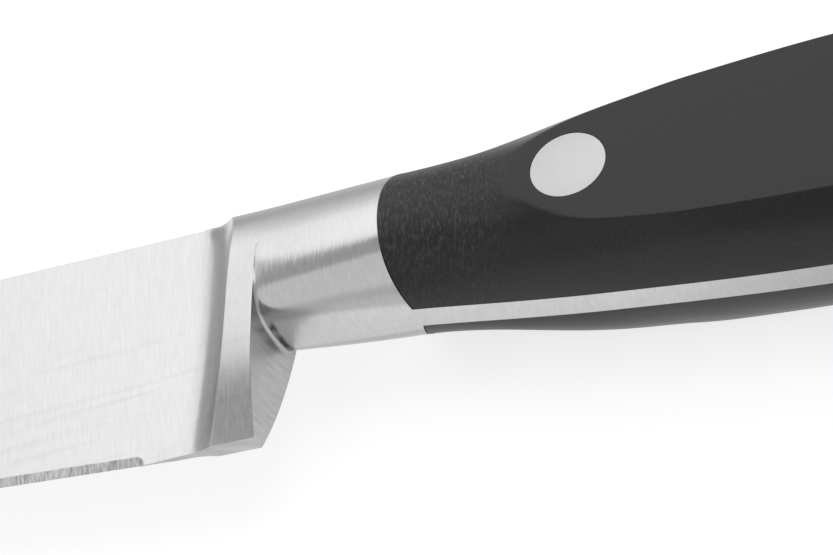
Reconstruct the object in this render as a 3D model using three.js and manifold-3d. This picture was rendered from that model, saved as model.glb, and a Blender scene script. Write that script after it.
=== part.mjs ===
// Fillet knife: one forging of blade, bolster and full tang, two handle scales and three two-part rivets.
// Millimetres. X runs along the cutting edge to the butt, Y from the edge up to the spine, Z to the left face.
// The knife lies on its right side, so Z is up and the right scale's flat is the resting face.

import * as THREE from "three";
import { mergeVertices, toCreasedNormals } from "three/addons/utils/BufferGeometryUtils.js";
import Module from "manifold-3d";

const wasm = await Module();
wasm.setup();

// Blade
const bladeLength = 200;
const bladeHeight = 25.9;
const spineFallDegrees = 2.7;
const spineThickness = 1.9;
const tipThickness = 0.7;
const edgeThickness = 0.24;
const edgeLand = 0.03;
const bevelHeight = 1;
const edgeSweep = 95;
const spineDrop = 70;
const tipHeight = 9;
const tipBluntness = 0.4;

// Heel of the blade, left unsharpened ahead of the guard
const heelLength = 11.6;
const heelLift = 0.6;
const heelWidth = 1.8;
const bevelRunout = 0.8;

// Bolster: guard, the fillet into the blade, and the neck
const filletLead = 7.4;
const filletTiltDegrees = 3.2;
const filletBow = 0.5;
const rootDepth = 1.8;
const guardLength = 2.9;
const guardWidth = 10.8;
const heelSweep = 1.6;
const heelSweepHeight = 13.5;
const crownSweep = 2;
const crownSweepHeight = 6.4;
const flankWidth = 9.9;
const flankHeight = 8.6;
const neckLength = 14.7;
const neckHeightAtGuard = 14.3;
const neckLowerFullness = 2.9;
const neckFlare = 0.15;
const jointDiameter = 15;
const jointFullness = 2.06;
const jointCentreHeight = 18.85;

// Tang and handle
const tangThickness = 2.6;
const shoulderDraftDegrees = 14.5;
const handleLength = 109;
const handleThickness = 16.4;
const handleFullWidth = 24.2;
const bellyFullness = 2.04;
const swellStart = 5;
const swellEnd = 28;
const shoulderFullness = 2.32;
const shoulderBellyFullness = 2.5;
const shoulderFullStart = 1;
const shoulderFullEnd = 24;
const buttRounding = 15;

// Back and belly of the handle, measured from the round section at the joint
const outlineShares = [0, 0.17, 0.36, 0.59, 0.82, 1];
const backRises = [0, 1.3, 4.1, 5.5, 4.2, 1];
const bellyDrops = [0, 1.8, 2.9, 2.3, 2.4, 4.4];

// Rivets
const rivetHeadDiameter = 7;
const rivetHeadDepth = 2.4;
const rivetSleeveDiameter = 4.6;
const rivetPinDiameter = 3;
const rivetPinEngagement = 9;
const rivetStop = 0.3;
const rivetRise = 0.4;
const frontRivetSetback = 16.9;
const rearRivetSetback = 22;

// Clearances
const rivetFit = 0.05;
const pinFit = 0.05;
const tangHoleFit = 0.1;
const shoulderFit = 0.05;

// Facets
const ringPoints = 44;
const neckSteps = 5;
const handleSteps = 26;
const buttSteps = 6;
const buttClosing = 1.4;
const bladeSteps = 12;
const filletSteps = 14;
const arcSteps = 10;
const rivetSides = 32;
const creaseAngle = Math.PI / 7;

// Turn of the fillet's arc: at least this much, and past the ridge by this factor
const leastTurn = Math.PI / 60;
const turnPastRidge = 1.2;

// Stations along X, from the tip to the butt: the shoulder is at 0
const guardRear = -neckLength;
const filletStart = guardRear - filletLead;
const bevelEnd = guardRear - heelLength;
const tipX = filletStart - bladeLength;
const spineSlope = Math.tan(THREE.MathUtils.degToRad(spineFallDegrees));
const filletTilt = Math.tan(THREE.MathUtils.degToRad(filletTiltDegrees));
const draftSlope = Math.tan(THREE.MathUtils.degToRad(shoulderDraftDegrees));
const tangFace = tangThickness / 2;
const flatFace = handleThickness / 2;

function clamp01(value) {
  return THREE.MathUtils.clamp(value, 0, 1);
}

// Height of the spine: a straight fall towards the tip, then a curve down to it
function spineHeight(x) {
  const straight = bladeHeight + spineSlope * (x - filletStart);
  const curve = clamp01((tipX + spineDrop - x) / spineDrop) ** 2;
  const straightAtTip = bladeHeight - spineSlope * bladeLength;
  return straight - curve * (straightAtTip - tipHeight - tipBluntness);
}

// Height of the edge: straight, swept up to the tip, and lifted a little under the guard
function edgeHeight(x) {
  const sweep = clamp01((tipX + edgeSweep - x) / edgeSweep) ** 2;
  const lift = clamp01((x - bevelEnd) / heelLength);
  return sweep * tipHeight + lift * heelLift;
}

// Closed solid through rings of points: seen from its far end, each ring runs counter-clockwise.
// The two axes name the plane of the rings, in the order that the rings turn.
function loft(rings, [first, second]) {
  const count = rings[0].length;
  const positions = rings.flat().flatMap((point) => point.toArray());
  const index = [];
  for (let k = 0; k < rings.length - 1; k += 1) {
    for (let i = 0; i < count; i += 1) {
      const a = k * count + i;
      const b = k * count + ((i + 1) % count);
      index.push(a, b, a + count, b, b + count, a + count);
    }
  }
  const last = (rings.length - 1) * count;
  const flatten = (ring) => ring.map((point) => new THREE.Vector2(point[first], point[second]));
  for (const [a, b, c] of THREE.ShapeUtils.triangulateShape(flatten(rings[0]), [])) {
    index.push(a, c, b);
  }
  for (const [a, b, c] of THREE.ShapeUtils.triangulateShape(flatten(rings.at(-1)), [])) {
    index.push(last + a, last + b, last + c);
  }
  const geometry = new THREE.BufferGeometry();
  geometry.setAttribute("position", new THREE.Float32BufferAttribute(positions, 3));
  geometry.setIndex(index);
  return geometry;
}

// Solid for joining and cutting, from a closed geometry
function solid(geometry) {
  const bare = geometry.clone();
  bare.deleteAttribute("normal");
  bare.deleteAttribute("uv");
  const merged = mergeVertices(bare);
  const mesh = new wasm.Mesh({
    numProp: 3,
    vertProperties: new Float32Array(merged.attributes.position.array),
    triVerts: new Uint32Array(merged.index.array),
  });
  return new wasm.Manifold(mesh);
}

// Named mesh from a finished solid
function part(name, body, material) {
  const { vertProperties, triVerts } = body.getMesh();
  const geometry = new THREE.BufferGeometry();
  geometry.setAttribute("position", new THREE.BufferAttribute(vertProperties, 3));
  geometry.setIndex(new THREE.BufferAttribute(triVerts, 1));
  const mesh = new THREE.Mesh(toCreasedNormals(geometry, creaseAngle), material);
  mesh.name = name;
  return mesh;
}

// Plate whose outline is drawn in X and Z, standing from one height to another
function uprightPlate(shape, low, high) {
  const options = { depth: high - low, bevelEnabled: false, curveSegments: arcSteps };
  return new THREE.ExtrudeGeometry(shape, options).rotateX(Math.PI / 2).translate(0, high, 0);
}

function spread(from, to, steps) {
  return Array.from({ length: steps + 1 }, (_, i) => from + ((to - from) * i) / steps);
}

// Whole ring from its left half, with points on the middle plane used once
function mirrored(left) {
  const right = left.filter((point) => point.z > 0).reverse();
  return [...left, ...right.map((point) => new THREE.Vector3(point.x, point.y, -point.z))];
}

// Rounded section across X: half ovals above and below the widest height
function ovalPoint(section, angle) {
  const fullness = Math.cos(angle) > 0 ? section.upper : section.lower;
  const reach = (value) => Math.sign(value) * Math.abs(value) ** (2 / fullness);
  const middle = (section.top + section.bottom) / 2;
  const halfHeight = (section.top - section.bottom) / 2;
  const y = middle + halfHeight * reach(Math.cos(angle));
  const z = section.half * reach(Math.sin(angle));
  return new THREE.Vector3(section.x, y, z);
}

function ovalRing(section) {
  return Array.from({ length: ringPoints }, (_, i) => ovalPoint(section, (i * 2 * Math.PI) / ringPoints));
}

// Neck: squarish under at the guard, round where the scales begin
const jointSection = {
  top: jointCentreHeight + jointDiameter / 2,
  bottom: jointCentreHeight - jointDiameter / 2,
  half: jointDiameter / 2,
  upper: jointFullness,
  lower: jointFullness,
};

// The guard's crown passes through the corners of the blade's spine
const cornerShare = (spineThickness / guardWidth) ** jointFullness;
const crownRise = (neckHeightAtGuard / 2) * (1 - (1 - cornerShare) ** (1 / jointFullness));

const guardSection = {
  top: spineHeight(guardRear) + crownRise,
  bottom: spineHeight(guardRear) + crownRise - neckHeightAtGuard,
  half: guardWidth / 2,
  upper: jointFullness,
  lower: neckLowerFullness,
};

function neckSection(x) {
  const along = clamp01((x - guardRear) / neckLength);
  const flare = along * (1 + neckFlare * (1 - along));
  const mix = (key, share) => THREE.MathUtils.lerp(guardSection[key], jointSection[key], share);
  return {
    x,
    top: mix("top", along),
    bottom: mix("bottom", along),
    half: mix("half", flare),
    upper: mix("upper", along),
    lower: mix("lower", along),
  };
}

// Handle: squarer behind the joint, swells to an oval wider than the flats, and rounds off at the butt
const outline = new THREE.CubicInterpolant(
  outlineShares.map((share) => share * handleLength),
  outlineShares.flatMap((_, i) => [backRises[i], bellyDrops[i]]),
  2,
);

function handleSection(x) {
  const [rise, drop] = outline.evaluate(x);
  const top = jointSection.top + rise;
  const bottom = jointSection.bottom - drop;
  const swell = THREE.MathUtils.smoothstep(x, swellStart, swellEnd);
  const half = THREE.MathUtils.lerp(jointDiameter, handleFullWidth, swell) / 2;
  const past = clamp01((x - handleLength + buttRounding) / buttRounding);
  const close = Math.sqrt(1 - past * past);
  const middle = (top + bottom) / 2;
  const filling = THREE.MathUtils.smoothstep(x, shoulderFullStart, shoulderFullEnd);
  const fuller = 4 * filling * (1 - filling);
  const lower = THREE.MathUtils.lerp(jointFullness, bellyFullness, swell);
  return {
    x,
    top: THREE.MathUtils.lerp(middle, top, close),
    bottom: THREE.MathUtils.lerp(middle, bottom, close),
    half: half * close,
    upper: THREE.MathUtils.lerp(jointFullness, shoulderFullness, fuller),
    lower: THREE.MathUtils.lerp(lower, shoulderBellyFullness, fuller),
  };
}

// Neck and handle as one flowing form, which the shoulders, the tang and the scales are parted from
function gripForm() {
  const neck = spread(guardRear, 0, neckSteps).map(neckSection);
  const buttStart = handleLength - buttRounding;
  const body = spread(0, buttStart, handleSteps).slice(1).map(handleSection);
  const butt = spread(0, buttClosing, buttSteps).slice(1).map((angle) => (
    handleSection(buttStart + buttRounding * Math.sin(angle))
  ));
  return loft([...neck, ...body, ...butt].map(ovalRing), ["y", "z"]);
}

// Place of a scale on one side: drafted front end against the shoulder, flat inner face on the tang
function scalePlace(side, outer, gap) {
  const shoulderX = (z) => gap - draftSlope * (z - tangFace);
  const beyondButt = handleLength + buttRounding;
  const shape = new THREE.Shape([
    new THREE.Vector2(shoulderX(tangFace), side * tangFace),
    new THREE.Vector2(beyondButt, side * tangFace),
    new THREE.Vector2(beyondButt, side * outer),
    new THREE.Vector2(shoulderX(outer), side * outer),
  ]);
  return solid(uprightPlate(shape, -bladeHeight, 2 * bladeHeight));
}

// Guard: the neck's round top, with flanks drawn in to the heel
function guardRing(x) {
  const top = spineHeight(x) + crownRise;
  const section = { ...guardSection, x, top, bottom: top - neckHeightAtGuard };
  const crown = spread(0, Math.PI / 2, ringPoints / 4).map((angle) => ovalPoint(section, angle));
  const flank = new THREE.QuadraticBezierCurve3(
    crown.at(-1),
    new THREE.Vector3(x, flankHeight, flankWidth / 2),
    new THREE.Vector3(x, edgeHeight(x), heelWidth / 2),
  );
  return mirrored([...crown, ...flank.getPoints(arcSteps).slice(1)]);
}

// Half width of the guard by height
const guardSide = guardRing(guardRear).filter((point) => point.z >= 0).reverse();
const guardHalf = new THREE.LinearInterpolant(
  guardSide.map((point) => point.y),
  guardSide.map((point) => point.z),
  1,
);

// Ridge between the fillet and the guard's side: straight at mid-height, swept to the blade above and below
function ridgeX(y) {
  const below = clamp01(1 - y / heelSweepHeight);
  const above = clamp01(1 - (bladeHeight - y) / crownSweepHeight);
  return guardRear - guardLength - heelSweep * below ** 2 - crownSweep * above ** 2;
}

// Half thickness of the blade's wedge at its root, by height
function rootHalf(y) {
  const share = (y - bevelHeight) / (bladeHeight - bevelHeight);
  return THREE.MathUtils.lerp(edgeThickness, spineThickness, share) / 2;
}

// Fillet at one height: a concave arc from the blade's face through the ridge and out past the guard's side
function filletRing(y) {
  const rise = y - bladeHeight / 2;
  const bow = filletBow * (rise / (bladeHeight / 2)) ** 2;
  const start = filletStart - rise * filletTilt - bow;
  const run = ridgeX(y) - start;
  const climb = guardHalf.evaluate(y)[0] - rootHalf(y);
  const turn = THREE.MathUtils.clamp(2 * Math.atan2(climb, run), leastTurn, Math.PI / 2);
  const radius = run / Math.sin(turn);
  const lastAngle = Math.min(turn * turnPastRidge, Math.PI / 2);
  const left = spread(0, lastAngle, arcSteps).map((angle) => new THREE.Vector3(
    start + radius * Math.sin(angle),
    y,
    rootHalf(y) + radius * (1 - Math.cos(angle)),
  ));
  const reach = guardWidth;
  left.push(new THREE.Vector3(left.at(-1).x, y, reach));
  left.push(new THREE.Vector3(reach, y, reach));
  return mirrored(left);
}

function guardForm() {
  const front = filletStart - bladeHeight * filletTilt - 2 * filletBow;
  const block = solid(loft([guardRing(front), guardRing(guardRear)], ["y", "z"]));
  const heights = spread(-bevelHeight, bladeHeight + bevelHeight, filletSteps);
  return block.intersect(solid(loft(heights.map(filletRing), ["z", "x"])));
}

// Blade: a wedge with a sharpening bevel that runs out ahead of the heel
function bladeRing(x) {
  const along = clamp01((filletStart - x) / bladeLength);
  const sharp = clamp01((bevelEnd - x) / bevelRunout);
  const top = spineHeight(x);
  const bottom = edgeHeight(x);
  const bevel = Math.min(bevelHeight, (top - bottom) / 2);
  const spineHalf = THREE.MathUtils.lerp(spineThickness, tipThickness, along) / 2;
  const bevelHalf = edgeThickness / 2;
  const taper = (spineHalf - bevelHalf) / (top - bottom - bevel);
  const edgeHalf = THREE.MathUtils.lerp(bevelHalf - taper * bevel, edgeLand / 2, sharp);
  return mirrored([
    new THREE.Vector3(x, top, spineHalf),
    new THREE.Vector3(x, bottom + bevel, bevelHalf),
    new THREE.Vector3(x, bottom, edgeHalf),
  ]);
}

function bladeForm() {
  const sweepStart = tipX + edgeSweep;
  const root = filletStart + rootDepth;
  const stations = [
    ...spread(tipX, sweepStart, bladeSteps),
    ...spread(bevelEnd - bevelRunout, bevelEnd, 1),
    root,
  ];
  return solid(loft(stations.map(bladeRing), ["y", "z"]));
}

// Round tool along Z for a hole, from one height to another
function drill(x, y, diameter, low, high) {
  const radius = diameter / 2;
  const cylinder = new THREE.CylinderGeometry(radius, radius, high - low, rivetSides);
  return solid(cylinder.rotateX(Math.PI / 2).translate(x, y, (low + high) / 2));
}

function turned(profile, x, y) {
  const points = profile.map(([radius, z]) => new THREE.Vector2(radius, z));
  return solid(new THREE.LatheGeometry(points, rivetSides).rotateX(Math.PI / 2).translate(x, y, 0));
}

// Rivet places along the middle of the handle
const rivetStations = {
  front: frontRivetSetback,
  middle: (frontRivetSetback + handleLength - rearRivetSetback) / 2,
  rear: handleLength - rearRivetSetback,
};

function rivetPlace(x) {
  const section = handleSection(x);
  return { x, y: (section.top + section.bottom) / 2 + rivetRise };
}

const rivetPlaces = Object.entries(rivetStations).map(([name, x]) => ({ name, ...rivetPlace(x) }));
const headUnderside = flatFace - rivetHeadDepth;
const sleeveEnd = -headUnderside + rivetStop;
const pinEnd = sleeveEnd + rivetPinEngagement;
const boreEnd = pinEnd + rivetStop;

// Female half: a head on the left scale and a sleeve through both scales and the tang
function rivetSleeve({ x, y }) {
  const bore = rivetPinDiameter / 2 + pinFit;
  const sleeve = rivetSleeveDiameter / 2;
  const head = rivetHeadDiameter / 2;
  return turned([
    [0, boreEnd],
    [bore, boreEnd],
    [bore, sleeveEnd],
    [sleeve, sleeveEnd],
    [sleeve, headUnderside],
    [head, headUnderside],
    [head, flatFace],
    [0, flatFace],
  ], x, y);
}

// Male half: a head on the right scale and a pin driven up the sleeve
function rivetPin({ x, y }) {
  const pin = rivetPinDiameter / 2;
  const head = rivetHeadDiameter / 2;
  return turned([
    [0, -flatFace],
    [head, -flatFace],
    [head, -headUnderside],
    [pin, -headUnderside],
    [pin, pinEnd],
    [0, pinEnd],
  ], x, y);
}

// One forging: the grip form less the scales' places, joined to the guard and the blade
function bladeForging(grip) {
  const beyond = handleFullWidth;
  let forging = grip.subtract(scalePlace(1, beyond, 0)).subtract(scalePlace(-1, beyond, 0));
  forging = forging.add(guardForm()).add(bladeForm());
  for (const { x, y } of rivetPlaces) {
    forging = forging.subtract(drill(x, y, rivetSleeveDiameter + 2 * tangHoleFit, -flatFace, flatFace));
  }
  return forging;
}

// Scale: the grip form inside its place, counterbored for the rivet heads and drilled for the sleeves
function handleScale(grip, side) {
  let scale = grip.intersect(scalePlace(side, flatFace, shoulderFit));
  for (const { x, y } of rivetPlaces) {
    const [low, high] = side > 0 ? [headUnderside, 2 * flatFace] : [-2 * flatFace, -headUnderside];
    scale = scale.subtract(drill(x, y, rivetHeadDiameter + 2 * rivetFit, low, high));
    scale = scale.subtract(drill(x, y, rivetSleeveDiameter + 2 * rivetFit, -flatFace, flatFace));
  }
  return scale;
}

// Finishes: brushed stainless steel and black moulded plastic
function steel() {
  return new THREE.MeshStandardMaterial({ color: 0xd4d4d2, roughness: 0.32, metalness: 1 });
}

function plastic() {
  return new THREE.MeshStandardMaterial({ color: 0x1f1f20, roughness: 0.5, metalness: 0 });
}

const grip = solid(gripForm());
const knife = new THREE.Group();
knife.add(part("blade_forging", bladeForging(grip), steel()));
knife.add(part("left_scale", handleScale(grip, 1), plastic()));
knife.add(part("right_scale", handleScale(grip, -1), plastic()));
for (const place of rivetPlaces) {
  knife.add(part(`${place.name}_rivet_sleeve`, rivetSleeve(place), steel()));
  knife.add(part(`${place.name}_rivet_pin`, rivetPin(place), steel()));
}

// Origin: on the resting flat, half way between the front and the middle rivet
const [frontPlace, middlePlace] = rivetPlaces;
const restX = (frontPlace.x + middlePlace.x) / 2;
const restY = (frontPlace.y + middlePlace.y) / 2;
knife.position.set(-restX, -restY, flatFace);

export default knife;
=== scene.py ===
# %% [markdown]
# # A forged fillet knife
# The blade, the bolster and the full tang are one steel forging. Two black plastic scales lie on the
# tang, and three two-part rivets hold them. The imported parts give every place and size; this lesson gives
# each part a finer skin, worked out from the same few dimensions with refinements of less than a
# millimetre, and a finish.

# %% Load the frame
import math
from types import SimpleNamespace

import bmesh
import bpy
import numpy as np
from mathutils import Matrix, Vector


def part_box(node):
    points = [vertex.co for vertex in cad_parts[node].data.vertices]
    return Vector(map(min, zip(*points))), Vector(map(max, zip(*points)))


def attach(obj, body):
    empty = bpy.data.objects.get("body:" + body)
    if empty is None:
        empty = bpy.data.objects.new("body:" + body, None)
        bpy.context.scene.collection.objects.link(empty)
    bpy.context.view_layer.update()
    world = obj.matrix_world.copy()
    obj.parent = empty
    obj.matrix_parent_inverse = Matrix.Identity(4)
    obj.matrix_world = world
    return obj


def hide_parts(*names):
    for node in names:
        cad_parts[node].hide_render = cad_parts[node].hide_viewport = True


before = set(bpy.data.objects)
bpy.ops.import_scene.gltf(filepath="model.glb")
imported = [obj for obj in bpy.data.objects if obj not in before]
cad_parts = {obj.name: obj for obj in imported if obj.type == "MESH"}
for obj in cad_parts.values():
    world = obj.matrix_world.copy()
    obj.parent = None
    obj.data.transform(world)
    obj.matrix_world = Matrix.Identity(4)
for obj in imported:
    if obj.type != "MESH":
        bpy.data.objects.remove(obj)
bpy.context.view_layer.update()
print("packed parts:", ", ".join(sorted(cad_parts)))

# %% [markdown]
# ## The sizes
# A knife maker draws the knife flat: along the edge is X, up to the spine is Y, and Z leaves the left
# face. The shoulder where the scales begin is X = 0, the straight edge is Y = 0 and the middle of the
# steel is Z = 0. All of it is in millimetres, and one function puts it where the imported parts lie, in
# metres.

# %% Driving sizes
MM = 0.001
blade_length = 200.0
blade_height = 25.9
spine_slope = math.tan(math.radians(2.7))
spine_thickness = 1.9
tip_thickness = 0.7
edge_thickness = 0.24
edge_land = 0.03
bevel_height = 1.0
edge_sweep = 95.0
spine_drop = 70.0
tip_height = 9.0
tip_bluntness = 0.4

heel_length = 11.6
heel_lift = 0.6
heel_width = 1.8
bevel_runout = 0.8

fillet_lead = 7.4
fillet_tilt = math.tan(math.radians(3.2))
fillet_bow = 0.5
guard_length = 2.9
guard_width = 10.8
heel_sweep = 1.6
heel_sweep_height = 13.5
crown_sweep = 2.0
crown_sweep_height = 6.4
flank_width = 9.9
flank_height = 8.6
neck_length = 14.7
neck_height_at_guard = 14.3
neck_lower_fullness = 2.9
neck_flare = 0.15
joint_diameter = 15.0
joint_fullness = 2.06
joint_centre_height = 18.85

tang_thickness = 2.6
shoulder_draft = math.tan(math.radians(14.5))
shoulder_gap = 0.05
handle_length = 109.0
handle_thickness = 16.4
handle_full_width = 24.2
belly_fullness = 2.04
swell_start = 5.0
swell_end = 28.0
shoulder_fullness = 2.32
shoulder_belly_fullness = 2.5
shoulder_full_start = 1.0
shoulder_full_end = 24.0
butt_rounding = 15.0
outline_shares = [0, 0.17, 0.36, 0.59, 0.82, 1]
back_rises = [0, 1.3, 4.1, 5.5, 4.2, 1]
belly_drops = [0, 1.8, 2.9, 2.3, 2.4, 4.4]

guard_rear = -neck_length
fillet_start = guard_rear - fillet_lead
bevel_end = guard_rear - heel_length
tip_x = fillet_start - blade_length
tang_face = tang_thickness / 2
flat_face = handle_thickness / 2
joint_top = joint_centre_height + joint_diameter / 2
joint_bottom = joint_centre_height - joint_diameter / 2
print(f"tip at {tip_x:.1f}, fillet at {fillet_start:.1f}, guard at {guard_rear:.1f} mm from the shoulder")

# %% [markdown]
# ## The outline
# Seen flat, the knife is two pairs of curves: spine and edge, then the back and the belly of the handle.
# Each is a short rule, so that any number of points can be taken from it. The handle's curves pass
# smoothly through a few heights, with the slope at each one the mean of the slopes beside it.

# %% Outline rules
def clamp01(value):
    return np.clip(value, 0.0, 1.0)


def mix(start, end, share):
    return start + (end - start) * share


def ease(value, low, high):
    share = clamp01((value - low) / (high - low))
    return share * share * (3 - 2 * share)


def spine_height(x):
    straight = blade_height + spine_slope * (x - fillet_start)
    curve = clamp01((tip_x + spine_drop - x) / spine_drop) ** 2
    return straight - curve * (blade_height - spine_slope * blade_length - tip_height - tip_bluntness)


def edge_height(x):
    sweep = clamp01((tip_x + edge_sweep - x) / edge_sweep) ** 2
    return sweep * tip_height + clamp01((x - bevel_end) / heel_length) * heel_lift


def smooth_through(shares, heights, x):
    knots = np.array(shares) * handle_length
    values = np.array(heights, float)
    secants = np.diff(values) / np.diff(knots)
    slopes = np.concatenate([secants[:1], (secants[1:] + secants[:-1]) / 2, secants[-1:]])
    i = np.clip(np.searchsorted(knots, x, side="right") - 1, 0, len(secants) - 1)
    span = knots[i + 1] - knots[i]
    p = (x - knots[i]) / span
    start = values[i] * (2 * p**3 - 3 * p**2 + 1) + slopes[i] * span * (p**3 - 2 * p**2 + p)
    return start + values[i + 1] * (3 * p**2 - 2 * p**3) + slopes[i + 1] * span * (p**3 - p**2)


print(f"spine {spine_height(guard_rear):.1f} mm and edge {edge_height(guard_rear):.1f} mm high at the guard")

# %% [markdown]
# ## The sections
# Across its length the grip is an oval: nearly round at the joint, full under the neck, wide at the
# handle. Each oval is a superellipse, whose fullness says how square it is, with its own fullness above
# and below.

# %% Oval sections
class Oval:
    """Half ovals above and below the widest height. Its sizes may be arrays, one value for each point."""

    def __init__(self, top, bottom, half, upper, lower):
        self.middle = (top + bottom) / 2
        self.rise = (top - bottom) / 2
        self.half = half
        self.upper = upper
        self.lower = lower

    def at_angle(self, angle):
        up = np.cos(angle)
        fullness = np.where(up > 0, self.upper, self.lower)
        y = self.middle + self.rise * np.sign(up) * np.abs(up) ** (2 / fullness)
        z = self.half * np.abs(np.sin(angle)) ** (2 / fullness)
        return y, z

    def at_width(self, z, side):
        fullness = self.upper if side > 0 else self.lower
        share = (1 - clamp01(np.abs(z) / self.half) ** fullness) ** (1 / fullness)
        return self.middle + side * self.rise * share

    def at_height(self, y, side):
        fullness = self.upper if side > 0 else self.lower
        share = (1 - clamp01(np.abs(y - self.middle) / self.rise) ** fullness) ** (1 / fullness)
        return self.half * share

    def angle_of(self, z, side):
        fullness = self.upper if side > 0 else self.lower
        angle = np.arcsin(clamp01(z / self.half) ** (fullness / 2))
        return angle if side > 0 else np.pi - angle


corner_share = (spine_thickness / guard_width) ** joint_fullness
crown_rise = neck_height_at_guard / 2 * (1 - (1 - corner_share) ** (1 / joint_fullness))
guard_top = spine_height(guard_rear) + crown_rise


def neck_section(x):
    along = clamp01((x - guard_rear) / neck_length)
    flare = along * (1 + neck_flare * (1 - along))
    return Oval(
        mix(guard_top, joint_top, along),
        mix(guard_top - neck_height_at_guard, joint_bottom, along),
        mix(guard_width, joint_diameter, flare) / 2,
        joint_fullness,
        mix(neck_lower_fullness, joint_fullness, along),
    )


def handle_section(x):
    top = joint_top + smooth_through(outline_shares, back_rises, x)
    bottom = joint_bottom - smooth_through(outline_shares, belly_drops, x)
    swell = ease(x, swell_start, swell_end)
    past = clamp01((x - handle_length + butt_rounding) / butt_rounding)
    close = np.sqrt(1 - past * past)
    middle = (top + bottom) / 2
    filling = ease(x, shoulder_full_start, shoulder_full_end)
    fuller = 4 * filling * (1 - filling)
    return Oval(
        mix(middle, top, close),
        mix(middle, bottom, close),
        mix(joint_diameter, handle_full_width, swell) / 2 * close,
        mix(joint_fullness, shoulder_fullness, fuller),
        mix(mix(joint_fullness, belly_fullness, swell), shoulder_belly_fullness, fuller),
    )


print(f"neck {2 * neck_section(0.0).half:.1f} mm wide at the joint, {guard_width} mm at the guard")

# %% Where the knife lies
rivet_low, rivet_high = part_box("front_rivet_sleeve")
front_rivet_setback = 16.9
rivet_rise = 0.4
front_section = handle_section(front_rivet_setback)
shoulder = Vector((
    (rivet_low.x + rivet_high.x) / 2 - front_rivet_setback * MM,
    (rivet_low.y + rivet_high.y) / 2 - (front_section.middle + rivet_rise) * MM,
    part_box("left_scale")[1].z - flat_face * MM,
))


def lay_down(points):
    return np.asarray(points, float) * MM + np.array(shoulder)


print("shoulder of the tang at", [round(v, 5) for v in shoulder])

# %% [markdown]
# ## The camera
# The photograph is taken from the edge side and from behind the guard, with the camera rolled to one
# side. The camera stands at a measured distance from the front rivet, and three angles aim it.

# %% Camera
camera_from_rivet = Vector((52.45, -120.81, 139.33)) * MM
camera_azimuth = math.radians(30.643)
camera_elevation = math.radians(47.113)
camera_roll = math.radians(-33.689)
image_width = 833
sensor_width = 36.0
focal_pixels = 2188.81
nearest_view = 0.01

rivet_face = Vector(((rivet_low.x + rivet_high.x) / 2, (rivet_low.y + rivet_high.y) / 2, rivet_high.z))
camera = bpy.data.objects.new("camera", bpy.data.cameras.new("camera"))
bpy.context.scene.collection.objects.link(camera)
camera.data.sensor_width = sensor_width
camera.data.lens = focal_pixels / image_width * sensor_width
camera.data.clip_start = nearest_view
turn = Matrix.Rotation(camera_azimuth, 4, "Z")
turn @= Matrix.Rotation(math.pi / 2 - camera_elevation, 4, "X")
turn @= Matrix.Rotation(camera_roll, 4, "Z")
camera.matrix_world = Matrix.Translation(rivet_face + camera_from_rivet) @ turn
bpy.context.scene.camera = camera
print(f"lens {camera.data.lens:.1f} mm, {camera_from_rivet.length:.3f} m from the rivet")

# %% [markdown]
# ## Shader maths
# A finish is a formula over the surface: the lines of a grind here, a coarser bevel there. The nodes can
# be wired one by one, but a formula reads better as one line. This class wraps a socket, so that
# arithmetic on it adds the Math nodes, and one method adds any other node. Geometry Nodes trees take the
# same class.

# %% Wires
class Wire:
    """A node socket with arithmetic: an expression on wires adds its Math nodes."""

    def __init__(self, tree, socket=None):
        self.tree = tree
        self.socket = socket

    def add(self, kind, settings=None, values=None, output=0):
        node = self.tree.nodes.new(kind)
        for name, value in (settings or {}).items():
            setattr(node, name, value)
        for name, value in (values or {}).items():
            if isinstance(value, Wire):
                self.tree.links.new(value.socket, node.inputs[name])
            else:
                node.inputs[name].default_value = value
        return Wire(self.tree, node.outputs[output])

    def math(self, operation, *others):
        values = dict(enumerate([self, *others]))
        return self.add("ShaderNodeMath", {"operation": operation}, values)

    def __add__(self, other):
        return self.math("ADD", other)

    __radd__ = __add__

    def __mul__(self, other):
        return self.math("MULTIPLY", other)

    __rmul__ = __mul__

    def __sub__(self, other):
        return self.math("SUBTRACT", other)

    def __rsub__(self, other):
        return self.add("ShaderNodeMath", {"operation": "SUBTRACT"}, {0: other, 1: self})

    def __truediv__(self, other):
        return self.math("DIVIDE", other)


def axes(vector):
    split = vector.add("ShaderNodeSeparateXYZ", values={"Vector": vector})
    return [Wire(vector.tree, socket) for socket in split.socket.node.outputs]


def at_least(value, low):
    return value.math("MAXIMUM", low)


def soft_step(value, low, high):
    settings = {"interpolation_type": "SMOOTHSTEP"}
    return value.add("ShaderNodeMapRange", settings, {"Value": value, "From Min": low, "From Max": high})


print("a wire takes + - * / and adds a Math node for each")

# %% Places and grain
noise_middle = 0.5
noise_swing = 0.25


def knife_place(wire):
    """The point on the surface in millimetres from the shoulder, as a vector."""
    point = wire.add("ShaderNodeTexCoord", output="Object")
    from_shoulder = wire.add("ShaderNodeVectorMath", {"operation": "SUBTRACT"}, {0: point, 1: shoulder})
    return wire.add("ShaderNodeVectorMath", {"operation": "SCALE"}, {0: from_shoulder, "Scale": 1 / MM})


def turned_by(place, degrees):
    turn_angles = [math.radians(d) for d in degrees]
    return place.add("ShaderNodeMapping", values={"Vector": place, "Rotation": turn_angles})


def grain(place, waves, detail=2.0):
    """Noise from about -1 to 1, with so many waves in a millimetre along, up and across the knife."""
    stretched = place.add("ShaderNodeVectorMath", {"operation": "MULTIPLY"}, {0: place, 1: waves})
    noise = place.add("ShaderNodeTexNoise", values={"Vector": stretched, "Scale": 1.0, "Detail": detail})
    return (noise - noise_middle) / noise_swing


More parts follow.
